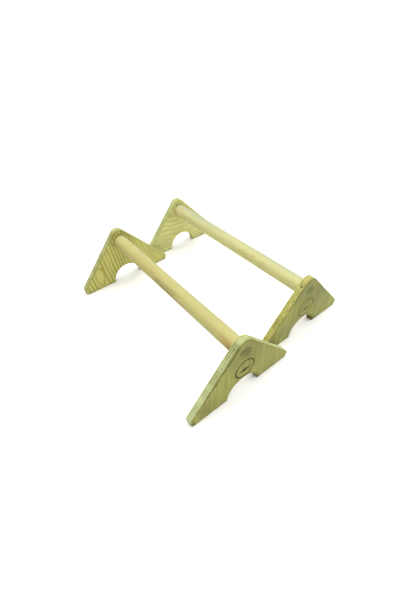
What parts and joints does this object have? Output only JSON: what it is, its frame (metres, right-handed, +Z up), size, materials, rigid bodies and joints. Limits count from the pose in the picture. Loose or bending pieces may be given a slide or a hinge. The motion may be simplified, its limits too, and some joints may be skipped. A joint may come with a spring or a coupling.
{
  "type": "wooden parallettes",
  "caption": "Pair of low push-up and handstand bars: a round wooden rail through two triangular plywood end plates with arched feet.",
  "frame": {"origin": "on the floor, at the centre of the two stands' common footprint", "axes": "+X along both rails, +Y from the front stand to the rear stand, +Z up"},
  "size_m": [0.58, 0.522, 0.166],
  "materials": {
    "plate_plywood": "sanded pine plywood with a thin clear oil, layered edges",
    "rail_pine": "sanded bare pine rail",
    "nail_steel": "dull steel, sunk below the edge"
  },
  "bodies": {
    "front_stand": {"front_rail": "rail_pine", "front_right_plate": "plate_plywood", "front_right_nail": "nail_steel", "front_left_plate": "plate_plywood", "front_left_nail": "nail_steel"},
    "rear_stand": {"rear_rail": "rail_pine", "rear_right_plate": "plate_plywood", "rear_right_nail": "nail_steel", "rear_left_plate": "plate_plywood", "rear_left_nail": "nail_steel"}
  },
  "joints": [
    {"name": "stand_spacing", "type": "slide", "parent": "front_stand", "child": "rear_stand", "axis": [0, 1, 0], "range_m": [-0.16, 0.364]}
  ]
}
